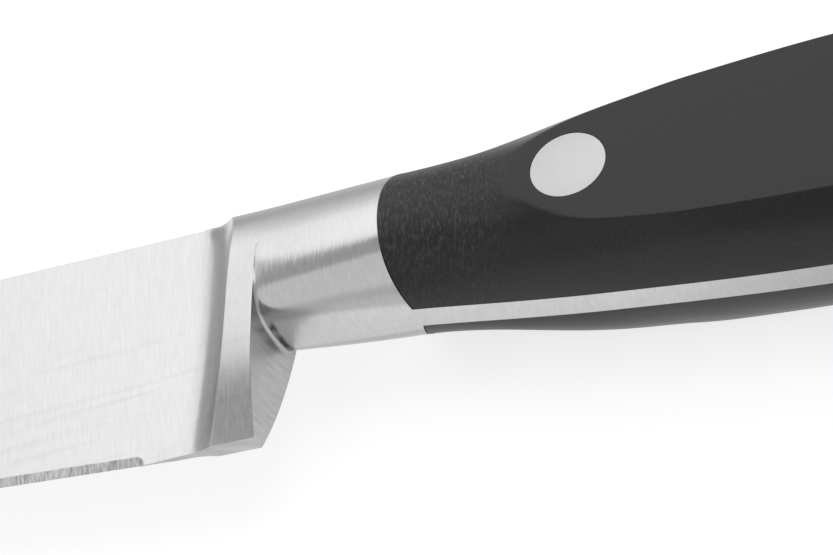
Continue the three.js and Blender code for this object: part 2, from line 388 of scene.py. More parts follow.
def specks(place, waves, size):
    """Small scattered dots: 1 at their middle, 0 outside, one or none in each cell."""
    stretched = place.add("ShaderNodeVectorMath", {"operation": "MULTIPLY"}, {0: place, 1: waves})
    distance = place.add("ShaderNodeTexVoronoi", values={"Vector": stretched, "Scale": 1.0})
    return 1 - soft_step(distance, 0.0, size)


def new_finish(name, grey, rough, metal):
    material = bpy.data.materials.new(name)
    material.use_nodes = True
    shader = material.node_tree.nodes["Principled BSDF"]
    shader.inputs["Base Color"].default_value = (grey, grey, grey, 1)
    shader.inputs["Roughness"].default_value = rough
    shader.inputs["Metallic"].default_value = metal
    return material, Wire(material.node_tree)


def connect(material, **wires):
    """Link wires to the shader; a height in millimetres goes to the normal through a Bump node."""
    tree = material.node_tree
    shader = tree.nodes["Principled BSDF"]
    height = wires.pop("height", None)
    if height is not None:
        bump = height.add("ShaderNodeBump", values={"Height": height, "Distance": MM})
        tree.links.new(bump.socket, shader.inputs["Normal"])
    for name, wire in wires.items():
        tree.links.new(wire.socket, shader.inputs[name.replace("_", " ").title()])
    print(f"{material.name}: {len(tree.nodes)} nodes")


print(f"noise about {noise_middle}, most of it within {noise_swing} of that")

# %% [markdown]
# ## The steel of the forging
# The whole forging is belt ground across its length, so its lines run from the spine to the edge and
# round the neck. The sharpening bevel is ground again on a coarse wheel, and the guard's rear face and
# the heel were ground by hand at a slant. One material holds all of it: every zone is found from its
# place on the knife, or from the way its face points, so that no zone needs a seam in the mesh.
# Light and shade are painted in too: lighter steel under the neck and the strip, painted shade on the
# crown, the low guard, the strip's rear, the hollow and the top of the rear face, and a painted dark
# reflection along the neck's lower side.

# %% Bevel and hollow of the forging
bevel_line_blur = 0.05
bevel_raggedness = 0.06
ragged_waves = (3.0, 0.4, 0.4)
blade_middle = blade_height / 2
hollow_start = (-0.7, 0.8)
hollow_end = (0.6, 1.6)
hollow_heights = (0.0, 9.0)
hollow_widening = 0.8
hollow_at_heel = 0.1


def bevel_zone(place, x, y):
    """The sharpening bevel, as high as it is ground, with a rounded end before the heel."""
    sweep = at_least(tip_x + edge_sweep - x, 0) / edge_sweep
    ragged = grain(place, ragged_waves) * bevel_raggedness
    above_edge = y - sweep * sweep * tip_height + ragged
    past_end = at_least(x - (bevel_end - bevel_height), 0)
    reach = (above_edge * above_edge + past_end * past_end).math("SQRT")
    return 1 - soft_step(reach, bevel_height - bevel_line_blur, bevel_height + bevel_line_blur)


def root_x(y):
    """The line where the fillet leaves the blade's face, for numbers and for wires."""
    rise = y - blade_middle
    return fillet_start - rise * fillet_tilt - rise * rise * (fillet_bow / blade_middle**2)


def hollow_zone(inside, y):
    """The start of the fillet, where the wheel that ground it left the blade's face; wider near the heel."""
    # painted shade darkens this hollow; the wheel's stripes run through it
    high = soft_step(y, *hollow_heights)
    widened = inside / (1 + hollow_widening - high * hollow_widening)
    strength = mix(hollow_at_heel, 1, high)
    return soft_step(widened, *hollow_start) * (1 - soft_step(inside, *hollow_end)) * strength


print(f"bevel {bevel_height} mm high up to {bevel_end:.1f}, fillet from {root_x(blade_middle):.1f} mm")

# %% Slants and pits of the forging
rear_facing = (0.6, 0.85)
rear_end = (guard_rear + 1.0, guard_rear + 2.0)
heel_start = (bevel_end - 1.0, bevel_end)
heel_end = (guard_rear, guard_rear + 0.3)
heel_facing = (-0.8, -0.6)
pit_line = (-14.05, 12.1)
pit_spread = (0.1, 0.6)
pit_front = (-14.55, -14.3)
pit_far_side = (-4.0, -2.5)
pit_near_side = (1.5, 2.6)
pit_waves = (2.2, 2.2, 0.6)
pit_cut = (-0.9, 0.1)


def rear_zone(x, facing_back):
    """The guard's rear face, which looks back along the knife."""
    return soft_step(facing_back, *rear_facing) * (1 - soft_step(x, *rear_end))


def heel_zone(x, facing_up):
    """The underside of the heel, from the end of the bevel to the guard's rear face."""
    along = soft_step(x, *heel_start) * (1 - soft_step(x, *heel_end))
    return (1 - soft_step(facing_up, *heel_facing)) * along


def pit_zone(place, x, y, z):
    """Dark pits that the forging kept in the corner under the neck, where no belt reaches."""
    along = x - pit_line[0]
    up = y - pit_line[1]
    near = 1 - soft_step((along * along + up * up).math("SQRT"), *pit_spread)
    across = soft_step(z, *pit_far_side) * (1 - soft_step(z, *pit_near_side))
    return soft_step(grain(place, pit_waves, detail=3.0), *pit_cut) * near * across * soft_step(x, *pit_front)


print(f"pits within {pit_spread[1]} mm of {pit_line}")

# %% Zones of the forging
bolster_start = (0.0, 1.8)
fillet_from = (-1.5, 0.5)
fillet_to = (2.5, 4.0)
guard_to = (guard_rear - 1.5, guard_rear + 3.0)
guard_heights = (15.0, 20.0)
behind_guard = (guard_rear - 0.4, guard_rear + 0.4)
neck_from = (guard_rear - 0.5, guard_rear + 2.0)
crown_facing = (-0.15, 0.25)
crown_edge_facing = (0.15, 0.5)
crown_tip_facing = (0.25, 0.42)
underside_facing = (-0.97, -0.85)
side_line_from = (-0.985, -0.955)
side_line_to = (-0.92, -0.8)


def forging_zones(place, normal):
    """Masks from 0 to 1, one for each zone of the forging, by name."""
    x, y, z = axes(place)
    facing_back, facing_up, _ = axes(normal)
    inside = x - root_x(y)
    past_fillet = soft_step(inside, *fillet_to)
    bolster = soft_step(inside, *bolster_start)
    behind = soft_step(x, *behind_guard)
    side_line = (1 - soft_step(facing_up, *side_line_to)) * soft_step(facing_up, *side_line_from)
    return SimpleNamespace(
        bevel=bevel_zone(place, x, y),
        hollow=hollow_zone(inside, y),
        slant=rear_zone(x, facing_back) + heel_zone(x, facing_up),
        pits=pit_zone(place, x, y, z),
        bolster=bolster,
        fillet=soft_step(inside, *fillet_from) * (1 - past_fillet),
        guard=bolster * (1 - soft_step(x, *guard_to)),
        low_guard=past_fillet * (1 - behind) * (1 - soft_step(y, *guard_heights)),
        neck=soft_step(x, *neck_from),
        crown=soft_step(facing_up, *crown_facing) * bolster,
        crown_edge=soft_step(facing_up, *crown_edge_facing) * bolster,
        crown_tip=soft_step(facing_up, *crown_tip_facing) * bolster,
        underside=(1 - soft_step(facing_up, *underside_facing)) * behind,
        side_line=side_line * behind,
    )


print(f"guard ends at {guard_rear:.1f} mm, its rear face blurs over {rear_end[1] - rear_end[0]:.1f} mm")

# %% Lines of the forging
blade_waves = (3.6, 0.45, 0.45)
belt_waves = (4.5, 0.8, 0.8)
stripe_waves = (1.6, 0.04, 0.04)
grit_waves = (6.0, 6.0, 6.0)
mark_waves = (0.04, 1.1, 0.1)
mark_cut = (0.0, 1.2)
mark_heights = (9.0, 20.0)
wheel_waves = (4.5, 0.6, 0.6)
chatter_waves = (1.2, 0.2, 0.2)
chatter_share = 0.3
hand_waves = (0.3, 4.0, 0.5)
grind_lean = (0, 0, -12)
mark_lean = (0, 0, -7)
hand_lean = (-10, 0, 0)


def long_marks(place, y):
    """Faint long strokes on the lower part of the blade."""
    strokes = soft_step(grain(turned_by(place, mark_lean), mark_waves, detail=3.0), *mark_cut)
    return strokes * (1 - soft_step(y, *mark_heights))


def wheel_lines(place):
    """The coarse lines of the sharpening wheel, with its slower chatter."""
    leaning = turned_by(place, grind_lean)
    fine = grain(leaning, wheel_waves)
    return fine * (1 - chatter_share) + grain(leaning, chatter_waves) * chatter_share


print(f"belt lines about {1 / belt_waves[0]:.2f} mm apart, blade lines {1 / blade_waves[0]:.2f} mm")

# %% Shade of the forging
steel_grey = 0.56
# painted light: the faces under the neck and the strip are lighter steel for the light they reflect
underside_painted_light_grey = 0.6
blade_line_depth = 0.048
grit_depth = 0.012
belt_depth = 0.065
mark_depth = 0.085
stripe_depth = 0.008
# painted shade: the crown's edge and tip darken as they turn to face up
crown_edge_painted_shade = 0.2
crown_tip_painted_shade = 0.12
# painted shade on the guard's side below its upper part
low_guard_painted_shade = 0.065
# painted reflection: a dark line where the neck's side turns under, deeper towards the joint
side_line_painted_reflection = 0.2
side_line_reflection_deepening = 0.08
side_line_deepens = (-10.5, -6.0)
# painted shade: the downward strip of the tang darkens towards the rear
strip_painted_shade = 0.24
strip_fade = (18.0, 40.0)
# painted shade in the hollow, with the wheel's stripes in it
hollow_painted_shade = 0.1
hollow_stripes = 0.14


def dulled_share(x, zone):
    """Painted shade on crown, low guard and strip, and a painted dark reflection under the neck."""
    side_line = zone.side_line * (side_line_painted_reflection + soft_step(x, *side_line_deepens) * side_line_reflection_deepening)
    strip = zone.underside * soft_step(x, *strip_fade) * strip_painted_shade
    crown = zone.crown_edge * crown_edge_painted_shade + zone.crown_tip * crown_tip_painted_shade
    return crown + side_line + strip + zone.low_guard * low_guard_painted_shade


def ground_shade(place, zone, belt_lines):
    """The belt ground steel of blade, bolster and tang strips, with its painted light and shade."""
    x, y, _ = axes(place)
    blade_lines = grain(turned_by(place, grind_lean), blade_waves, detail=3.0)
    grit = grain(place, grit_waves, detail=1.0)
    stripes = grain(place, stripe_waves)
    on_blade = blade_lines * blade_line_depth + grit * grit_depth
    lines = mix(on_blade, belt_lines * belt_depth, zone.bolster)
    # painted light under the neck and the strip, painted shade on crown, low guard, strip and neck line
    shade = mix(steel_grey, underside_painted_light_grey, zone.underside) * (1 - dulled_share(x, zone))
    shade = shade * (1 + lines - long_marks(place, y) * mark_depth + stripes * stripe_depth)
    # painted shade in the hollow, striped by the wheel
    return shade * (1 - zone.hollow * (hollow_painted_shade + stripes * hollow_stripes))


print(f"steel at {steel_grey}, underside at {underside_painted_light_grey}")

# %% Shade of the bevel, the slants and the pits
bevel_grey = 0.43
bevel_line_depth = 0.75
bevel_lift = 1.02
bevel_fall = 0.1
bevel_falls = (-38.0, -26.0)
slant_grey = 0.475
slant_line_depth = 0.14
# painted shade: the rear face darkens towards its top, under the neck
slant_painted_shade = 0.4
slant_shade_heights = (9.0, 17.0)
pit_grey = 0.09


def forging_shade(place, zone, belt_lines):
    x, y, _ = axes(place)
    falling = soft_step(x, *bevel_falls) * bevel_fall
    bevel = bevel_grey * (bevel_lift - falling + wheel_lines(place) * bevel_line_depth)
    hand_lines = grain(turned_by(place, hand_lean), hand_waves, detail=3.0)
    # painted shade at the top of the rear face
    slant = slant_grey * (1 + hand_lines * slant_line_depth - soft_step(y, *slant_shade_heights) * slant_painted_shade)
    shade = ground_shade(place, zone, belt_lines)
    shade = mix(shade, bevel, zone.bevel)
    shade = mix(shade, slant, zone.slant)
    return mix(shade, pit_grey, zone.pits)


print(f"bevel at {bevel_grey}, slants at {slant_grey}, pits at {pit_grey}")

# %% Forging steel
steel_rough = 0.2
guard_rough = 0.25
fillet_rough = 0.29
neck_rough = 0.14
crown_rough = 0.42
underside_rough = 0.3
belt_rough = 0.03
belt_height = 0.0008
bevel_rough = 0.42
slant_rough = 0.36
pit_depth = 0.02


def forging_rough(zone, belt):
    rough = mix(steel_rough, guard_rough, zone.guard)
    rough = mix(rough, fillet_rough, zone.fillet)
    rough = mix(rough, neck_rough, zone.neck)
    rough = mix(rough, crown_rough, zone.crown)
    rough = mix(rough, underside_rough, at_least(zone.underside, zone.side_line))
    rough = mix(rough + belt * belt_rough, bevel_rough, zone.bevel)
    return mix(rough, slant_rough, zone.slant + zone.pits)


def forging_finish():
    material, wire = new_finish("forging_steel", steel_grey, steel_rough, metal=1.0)
    place = knife_place(wire)
    zone = forging_zones(place, wire.add("ShaderNodeTexCoord", output="Normal"))
    belt_lines = grain(place, belt_waves)
    belt = belt_lines * zone.bolster
    shade = forging_shade(place, zone, belt_lines)
    height = belt * belt_height - zone.pits * pit_depth
    connect(material, base_color=shade, roughness=forging_rough(zone, belt), height=height)
    return material


forging_steel = forging_finish()

# %% [markdown]
# ## The plastic of the scales
# The scales are moulded black plastic, buffed along the handle. The buffing leaves faint lengthwise lines
# on the flat, and the front, where the grip was dressed down to the bolster, keeps short pale scratches
# across.

# %% Scale plastic
plastic_grey = 0.006
plastic_rough = 0.33
plastic_ior = 1.43
mould_waves = (5.0, 5.0, 5.0)
mould_depth = 0.9
buff_waves = (0.06, 2.5, 2.5)
buff_depth = 0.2
buff_rough = 0.04
buff_height = 0.002
dust_waves = (0.25, 0.45, 0.45)
dust_size = 0.07
dust_grey = 0.03
dent_waves = (0.4, 0.6, 0.6)
dent_size = 0.06
# painted shade inside the dents
dent_painted_shade = 0.5
dent_depth = 0.01
scratch_lean = (0, -22, -4)
scratch_waves = (5.0, 1.5, 1.5)
scratch_cut = (-0.4, 1.4)
scratch_grey = 0.06
scratch_rough = 0.16
scratch_end = (7.0, 13.5)
scratch_heights = (11.0, 16.0)
scratch_below = 0.4
# paler towards the front end of the scale
front_paling_grey = 0.006
front_paling_end = (-2.0, 9.0)


def scale_finish():
    material, wire = new_finish("scale_plastic", plastic_grey, plastic_rough, metal=0.0)
    material.node_tree.nodes["Principled BSDF"].inputs["IOR"].default_value = plastic_ior
    place = knife_place(wire)
    x, y, _ = axes(place)
    mould_grit = grain(place, mould_waves, detail=1.0)
    buffed = grain(place, buff_waves, detail=3.0)
    dust = specks(place, dust_waves, dust_size)
    dents = specks(place, dent_waves, dent_size)
    scratches = soft_step(grain(turned_by(place, scratch_lean), scratch_waves, detail=3.0), *scratch_cut)
    dressed = 1 - soft_step(x, *scratch_end)
    dressed = dressed * mix(scratch_below, 1, soft_step(y, *scratch_heights))
    # paler towards the front end
    front_paling = (1 - soft_step(x, *front_paling_end)) * front_paling_grey
    # painted shade in the dents
    shade = plastic_grey * (1 + mould_grit * mould_depth + buffed * buff_depth - dents * dent_painted_shade)
    shade = shade + dust * dust_grey + (scratches * scratch_grey + front_paling) * dressed
    rough = plastic_rough + buffed * buff_rough + dressed * scratch_rough
    height = buffed * buff_height - dents * dent_depth
    connect(material, base_color=at_least(shade, 0.0), roughness=rough, height=height)
    return material


scale_plastic = scale_finish()

# %% [markdown]
# ## The steel of the rivets
# The rivet heads were ground flush with the scales, along the handle, so their lines run the other way
# from those of the blade, and the coarser grind scatters the light a little more.

# %% Rivet steel
rivet_grey = 0.5
rivet_rough = 0.4
drawn_waves = (0.15, 4.0, 4.0)
drawn_depth = 0.04
drawn_rough = 0.04
drawn_height = 0.001
cloud_waves = (0.5, 0.5, 0.5)
cloud_depth = 0.02


def rivet_finish():
    material, wire = new_finish("rivet_steel", rivet_grey, rivet_rough, metal=1.0)
    place = knife_place(wire)
    drawn = grain(place, drawn_waves, detail=3.0)
    shade = rivet_grey * (1 + drawn * drawn_depth + grain(place, cloud_waves) * cloud_depth)
    rough = rivet_rough + drawn * drawn_rough
    connect(material, base_color=shade, roughness=rough, height=drawn * drawn_height)
    return material


rivet_steel = rivet_finish()

# %% [markdown]
# ## From rings to a mesh
# Both the forging and the scales are made as a smith draws them out: ring after ring of points along the
# knife, joined by quads, with the first and the last ring closed. One function makes the mesh from such
# rings.

# %% Skin over rings
def skin(rings):
    count = rings.shape[1]
    mesh = bmesh.new()
    points = [[mesh.verts.new(p) for p in lay_down(ring)] for ring in rings]
    for near, far in zip(points, points[1:]):
        for i in range(count):
            j = (i + 1) % count
            mesh.faces.new((near[i], near[j], far[j], far[i]))
    mesh.faces.new(points[0][::-1])
    mesh.faces.new(points[-1])
    return outward_mesh(mesh)


def outward_mesh(mesh):
    bmesh.ops.recalc_face_normals(mesh, faces=mesh.faces)
    data = bpy.data.meshes.new("skin")
    mesh.to_mesh(data)
    mesh.free()
    return data


def finished(name, data, material, sharp_degrees):
    data.name = name
    data.materials.clear()
    data.materials.append(material)
    data.shade_smooth()
    data.set_sharp_from_angle(angle=math.radians(sharp_degrees))
    data.calc_loop_triangles()
    print(f"{name}: {len(data.loop_triangles)} triangles")
    return link(name, data)


def link(name, data):
    thing = bpy.data.objects.new(name, data)
    bpy.context.scene.collection.objects.link(thing)
    return thing


def bend(start, corner, end, shares):
    s = np.asarray(shares)[:, None, None]
    return (1 - s) ** 2 * start + 2 * s * (1 - s) * corner + s**2 * end


def between(start, end, shares):
    return mix(start, end, np.asarray(shares)[:, None, None])


def steps(count):
    return np.arange(1, count + 1) / count


print("three steps along a line:", np.round(steps(3), 2))

# %% [markdown]
# ## Turned shapes at the rivet places
# Rivets and drills are turned shapes: a half profile swept round an axis. Geometry Nodes make them. The
# profile's corners are set by named sizes and eased, the profile is swept along a small circle, and one
# copy is set on each point of the mesh that the tree is given, here the three rivet places.

# %% Turned shapes
turned_sides = 64
path_radius = 1.0
easing_steps = 3
weld_distance = 0.001
rivet_names = ("front", "middle", "rear")


def rivet_place(name):
    low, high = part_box(f"{name}_rivet_sleeve")
    return (low.x + high.x) / 2, (low.y + high.y) / 2, shoulder.z


def turned_tree(name, sizes, corners):
    """A tree that turns a profile and sets a copy on each point; a corner names its radius and its height."""
    tree = bpy.data.node_groups.new(name, "GeometryNodeTree")
    tree.interface.new_socket("places", in_out="INPUT", socket_type="NodeSocketGeometry")
    tree.interface.new_socket("pieces", in_out="OUTPUT", socket_type="NodeSocketGeometry")
    for size in sizes:
        tree.interface.new_socket(size, in_out="INPUT", socket_type="NodeSocketFloat")
    wire = Wire(tree)
    given = {socket.name: Wire(tree, socket) for socket in tree.nodes.new("NodeGroupInput").outputs}
    given["axis"] = 0.0

    pick = tree.nodes.new("GeometryNodeIndexSwitch")
    pick.data_type = "VECTOR"
    while len(pick.index_switch_items) < len(corners):
        pick.index_switch_items.new()
    tree.links.new(wire.add("GeometryNodeInputIndex").socket, pick.inputs["Index"])
    for i, (radius, height) in enumerate(corners):
        place = {"X": given[radius] - path_radius * MM, "Y": 0 - given[height]}
        tree.links.new(wire.add("ShaderNodeCombineXYZ", values=place).socket, pick.inputs[str(i)])

    line = wire.add("GeometryNodeMeshLine", values={"Count": len(corners)})
    shaped = {"Geometry": line, "Position": Wire(tree, pick.outputs[0])}
    bent = wire.add("GeometryNodeSetPosition", values=shaped)
    profile = wire.add("GeometryNodeMeshToCurve", values={"Mesh": bent})
    easing = {"Curve": profile, "Count": easing_steps, "Radius": given["easing"], "Limit Radius": True}
    eased = wire.add("GeometryNodeFilletCurve", {"mode": "POLY"}, easing)
    path = {"Resolution": turned_sides, "Radius": path_radius * MM}
    circle = wire.add("GeometryNodeCurvePrimitiveCircle", values=path)
    swept = wire.add("GeometryNodeCurveToMesh", values={"Curve": circle, "Profile Curve": eased})
    welding = {"Geometry": swept, "Distance": weld_distance * MM}
    whole = wire.add("GeometryNodeMergeByDistance", values=welding)
    setting = {"Points": given["places"], "Instance": whole}
    copies = wire.add("GeometryNodeInstanceOnPoints", values=setting)
    real = wire.add("GeometryNodeRealizeInstances", values={"Geometry": copies})
    finish = wire.add("GeometryNodeSetMaterial", values={"Geometry": real, "Material": rivet_steel})
    tree.links.new(finish.socket, tree.nodes.new("NodeGroupOutput").inputs[0])
    return tree


print("rivets at", [[round(v, 4) for v in rivet_place(name)] for name in rivet_names])


# %% Turned pieces and drilling
def turned_at_rivets(name, sizes, corners):
    places = bpy.data.meshes.new("rivet_places")
    places.from_pydata([rivet_place(rivet) for rivet in rivet_names], [], [])
    carrier = link(name, places)
    modifier = carrier.modifiers.new(name, "NODES")
    modifier.node_group = turned_tree(name, sizes, corners)
    for item in modifier.node_group.interface.items_tree:
        if item.name in sizes:
            modifier[item.identifier] = sizes[item.name] * MM
    mesh = bmesh.new()
    mesh.from_mesh(as_mesh(carrier))
    return outward_mesh(mesh)


def as_mesh(thing):
    """The evaluated mesh as plain data; the thing itself, with its modifier, is taken away."""
    graph = bpy.context.evaluated_depsgraph_get()
    data = bpy.data.meshes.new_from_object(thing.evaluated_get(graph))
    bpy.data.objects.remove(thing)
    return data


def drilled(data, drill):
    work = link("work", data)
    tool = link("tool", drill)
    cut = work.modifiers.new("drill", "BOOLEAN")
    cut.object = tool
    cut.solver = "MANIFOLD"
    result = as_mesh(work)
    bpy.data.objects.remove(tool)
    print(f"drilled: {len(data.polygons)} faces became {len(result.polygons)}")
    return result


# %% [markdown]
# ## The forging
# A half ring of the forging runs from the middle of the spine to the middle of the edge. Its points keep
# their order from the tip to the butt: over the top, down the crown, down the flank, down the sharpening
# bevel and under the bottom. On the tang the top and the bottom run on as the two bright strips between
# the scales.

# %% Rows of a half ring
TOP, CROWN, FLANK, BEVEL, BOTTOM = range(5)
row_counts = {TOP: 4, CROWN: 26, FLANK: 46, BEVEL: 10, BOTTOM: 4}
kind = np.concatenate([np.full(n, k) for k, n in row_counts.items()] + [[BOTTOM]])
share = np.concatenate([np.arange(n) / n for n in row_counts.values()] + [[1.0]])
top, crown, flank, bevel, bottom = (kind == k for k in range(5))
crown_and_flank = crown | flank
first_bottom = int(np.argmax(bottom))
spine_half = spine_thickness / 2
heel_half = heel_width / 2
flank_reach = 0.62

guard_oval = neck_section(guard_rear)
corner_angle = guard_oval.angle_of(spine_half, 1)
crown_heights = guard_oval.at_angle(mix(corner_angle, np.pi / 2, share))[0]
flank_foot = edge_height(guard_rear)
flank_end = 1 - math.sqrt(bevel_height / (guard_oval.middle - flank_foot)) * flank_reach
bevel_top = flank_foot + bevel_height


def along_flank(t):
    return guard_oval.middle * (1 - t) ** 2 + 2 * t * (1 - t) * flank_height + t * t * flank_foot


flank_fall = guard_oval.middle - along_flank(share * flank_end)
flank_fall /= guard_oval.middle - along_flank(flank_end)
flank_heights = mix(guard_oval.middle, bevel_top, flank_fall)
row_heights = np.where(crown, crown_heights, flank_heights)
depth = (spine_height(guard_rear) - row_heights) / (spine_height(guard_rear) - bevel_top)
depth = np.where(crown_and_flank, depth, 0.0)
print(f"{len(kind)} points from the spine to the edge")


def side_heights(x):
    above = spine_height(x)
    below = edge_height(x)
    high = np.minimum(bevel_height, (above - below) / 2)
    return np.select(
        [top, crown_and_flank, bevel],
        [above, above - depth * (above - below - high), below + (1 - share) * high],
        below,
    )


# %% Blade and guard sections
spine_rounding = 0.15
heel_swell = 0.25
heel_swell_height = 6.0


def low_down(y):
    return clamp01(1 - y / heel_swell_height) ** 2


def stack(x, y, z):
    return np.stack(np.broadcast_arrays(x, y, z), axis=-1)


def blade_ring(x):
    x = np.broadcast_to(np.asarray(x, float), kind.shape)
    along = clamp01((fillet_start - x) / blade_length)
    sharp = clamp01((bevel_end - x) / bevel_runout)
    y = side_heights(x)
    above = spine_height(x)
    below = edge_height(x)
    high = np.minimum(bevel_height, (above - below) / 2)
    half = mix(spine_thickness, tip_thickness, along) / 2
    bevel_half = edge_thickness / 2
    taper = (half - bevel_half) / (above - below - high)
    edge_half = mix(bevel_half - taper * high, edge_land / 2, sharp)
    z = np.select(
        [top, crown_and_flank, bevel],
        [share * half, mix(half, bevel_half, depth), mix(bevel_half, edge_half, share)],
        edge_half * (1 - share),
    )
    under = np.clip(spine_rounding - (above - y), 0, None)
    z = np.where(crown, z - spine_rounding + np.sqrt(spine_rounding**2 - under**2), z)
    swell = heel_swell * ease(x, bevel_end, fillet_start) * low_down(y)
    z = np.where(bottom, (z + swell * (1 - share)), np.where(top, z, z + swell))
    out = np.clip(z - half + spine_rounding, 0, spine_rounding)
    y = np.where(top, y - spine_rounding + np.sqrt(spine_rounding**2 - out**2), y)
    return stack(x, y, z)


def guard_side(x):
    y = side_heights(x)
    section = Oval(
        spine_height(x) + crown_rise,
        spine_height(x) + crown_rise - neck_height_at_guard,
        guard_width / 2,
        joint_fullness,
        neck_lower_fullness,
    )
    below = edge_height(x)
    a = section.middle - 2 * flank_height + below
    b = 2 * (flank_height - section.middle)
    t = (-b - np.sqrt(np.clip(b * b - 4 * a * (section.middle - y), 0, None))) / (2 * a)
    t = clamp01(t)
    flank_z = (guard_width * (1 - t) ** 2 + 2 * t * (1 - t) * flank_width + heel_width * t * t) / 2
    z = np.select(
        [top, crown, flank | bevel],
        [share * spine_half, section.at_height(y, 1), flank_z],
        heel_half * (1 - share),
    )
    y = np.where(top, section.at_width(z, 1), y)
    return stack(x, y, z)


print(f"guard {2 * guard_side(np.full(kind.shape, guard_rear))[:, 2].max():.1f} mm wide")

# %% Neck sections
lower_order = np.where(flank, share * row_counts[FLANK], row_counts[FLANK] + share * row_counts[BEVEL])
lower_share = lower_order / (row_counts[FLANK] + row_counts[BEVEL])


def grip_ring(x, section, above, below):
    upper_angle = mix(section.angle_of(above, 1), np.pi / 2, share)
    lower_angle = mix(np.pi / 2, section.angle_of(below, -1), lower_share)
    y, z = section.at_angle(np.where(crown, upper_angle, lower_angle))
    z = np.select([top, bottom], [above * share, below * (1 - share)], z)
    y = np.select([top, bottom], [section.at_width(z, 1), section.at_width(z, -1)], y)
    return stack(x, y, z)


def neck_side(x):
    along = clamp01((x - guard_rear) / neck_length)
    above = mix(spine_half, tang_face, along)
    below = mix(heel_half, tang_face, along)
    return grip_ring(x, neck_section(x), above, below)


print(f"neck {np.ptp(neck_side(np.zeros(kind.shape))[:, 1]):.1f} mm high at the joint")

# %% [markdown]
# The crown's side runs on from the guard into the wider neck. The two slopes would meet in a crease
# there, which the belt has rounded away. The change of slope is measured on every row, and a soft
# swelling takes it up.

# %% Guard into neck
crown_flow = 1.2
slope_step = 0.02
flow_end = 0.25

at_rear = np.full(kind.shape, guard_rear)
neck_rise = neck_side(at_rear + slope_step) - neck_side(at_rear)
guard_rise = guard_side(at_rear) - guard_side(at_rear - slope_step)
slope_change = (neck_rise - guard_rise) / slope_step
middle_row = int(np.argmax(flank))
slope_change = np.where((top | crown)[:, None], slope_change, slope_change[middle_row])
slope_change *= np.select([top | crown, flank], [1.0, 1 - ease(share, 0.0, flow_end)], 0.0)[:, None]
slope_change[:, 0] = 0.0
print(f"the side turns by up to {math.degrees(math.atan(np.abs(slope_change).max())):.1f} degrees")


def flow(x):
    swelling = crown_flow * np.log1p(np.exp(-np.abs(x - guard_rear) / crown_flow))
    return slope_change * np.broadcast_to(swelling, kind.shape)[:, None]


def guard_ring(x):
    return guard_side(x) + flow(x)


def neck_ring(x):
    return neck_side(x) + flow(x)


# %% [markdown]
# The guard is ground hollow where it meets the blade: a concave arc leaves the blade's face and ends in a
# ridge. Every row follows that arc, turns the ridge with a small rounding and runs back along the guard's
# side.

# %% Fillet and ridge
settling_rounds = 6
row_settling_rounds = 3
least_steepness = 0.05
crown_blend = 3.5
ridge_rounding = 0.2
crown_curl = 0.5
crown_curl_power = 6
root_ease = 0.13
ramp_share = 0.55
ramp_end = 0.45


def fillet_root(y):
    return root_x(y) + root_ease


def root_half(y):
    share_up = (y - bevel_height) / (blade_height - bevel_height)
    return mix(edge_thickness, spine_thickness, share_up) / 2 + heel_swell * low_down(y)


def ridge_line(y):
    below = clamp01(1 - y / heel_sweep_height)
    above = clamp01(1 - (blade_height - y) / crown_sweep_height)
    swept = heel_sweep * below**2 + crown_sweep * above**2 + crown_curl * above**crown_curl_power
    return guard_rear - guard_length - swept


ridge_x = np.full(kind.shape, guard_rear - guard_length)
for _ in range(settling_rounds):
    ridge = guard_ring(ridge_x)
    ridge_x = ridge_line(ridge[:, 1])
ridge_x = np.where(bottom, ridge_x[first_bottom], ridge_x)
run = ridge_x - fillet_root(ridge[:, 1])
climb = np.where(top, 0.0, np.clip(ridge[:, 2] - root_half(ridge[:, 1]), 0, None))
steepness = np.clip(2 * np.arctan2(climb, run), least_steepness, np.pi / 2)
arc_radius = run / np.sin(steepness)
arc_radius = np.where(bottom, arc_radius[first_bottom], arc_radius)
arc_length = arc_radius * np.where(bottom, steepness[first_bottom], steepness)
wall_length = np.where(bottom, 0.0, np.clip(climb - arc_radius, 0, None))
fillet_length = arc_length + wall_length
print(f"fillet radius {arc_radius[middle_row]:.1f} mm at the widest height")


# %% Along the fillet
def along_fillet(distance):
    """Points of every row at a distance from the blade's face: up the arc, out the wall, along the side."""
    angle = np.minimum(distance, arc_length) / arc_radius
    wall = np.clip(distance - arc_length, 0, wall_length)
    past = np.clip(distance - fillet_length, 0, None)
    y = ridge[:, 1]
    for _ in range(row_settling_rounds):
        x = np.where(past > 0, ridge_x + past, fillet_root(y) + arc_radius * np.sin(angle))
        y = side_heights(x)
    z = root_half(y) + arc_radius * (1 - np.cos(angle)) + wall
    ramp = root_half(y) + climb * ease(arc_radius * np.sin(angle), 0.0, run)
    z = np.where(crown, mix(z, ramp, ramp_share * (1 - ease(share, 0.0, ramp_end))), z)
    z = np.where(bottom, z[first_bottom] * (1 - share), z)
    on_side = guard_ring(x)
    on_fillet = stack(x, y, np.where(top, share * spine_half, z))
    points = np.where((past > 0)[:, None], on_side, on_fillet)
    settled = ease(distance, 0, crown_blend)
    points[:, 1] = np.where(top, mix(side_heights(x), on_side[:, 1], settled), points[:, 1])
    return points


print("ridge at the widest height:", along_fillet(fillet_length)[middle_row].round(2), "mm")

# %% [markdown]
# Behind the guard the neck reaches less far down than the flank, so the flank ends in a flat rear face
# that drops from the neck's underside to the heel. Above the widest height the side runs on into the neck
# without a step.

# %% Rear face, neck and tang
rear_rounding = 0.14
corner_radius = 0.45
most_edge_share = 0.3
most_corner_share = 0.4
no_width = 1e-9
stepped = (flank & (share > 0)) | bevel | bottom

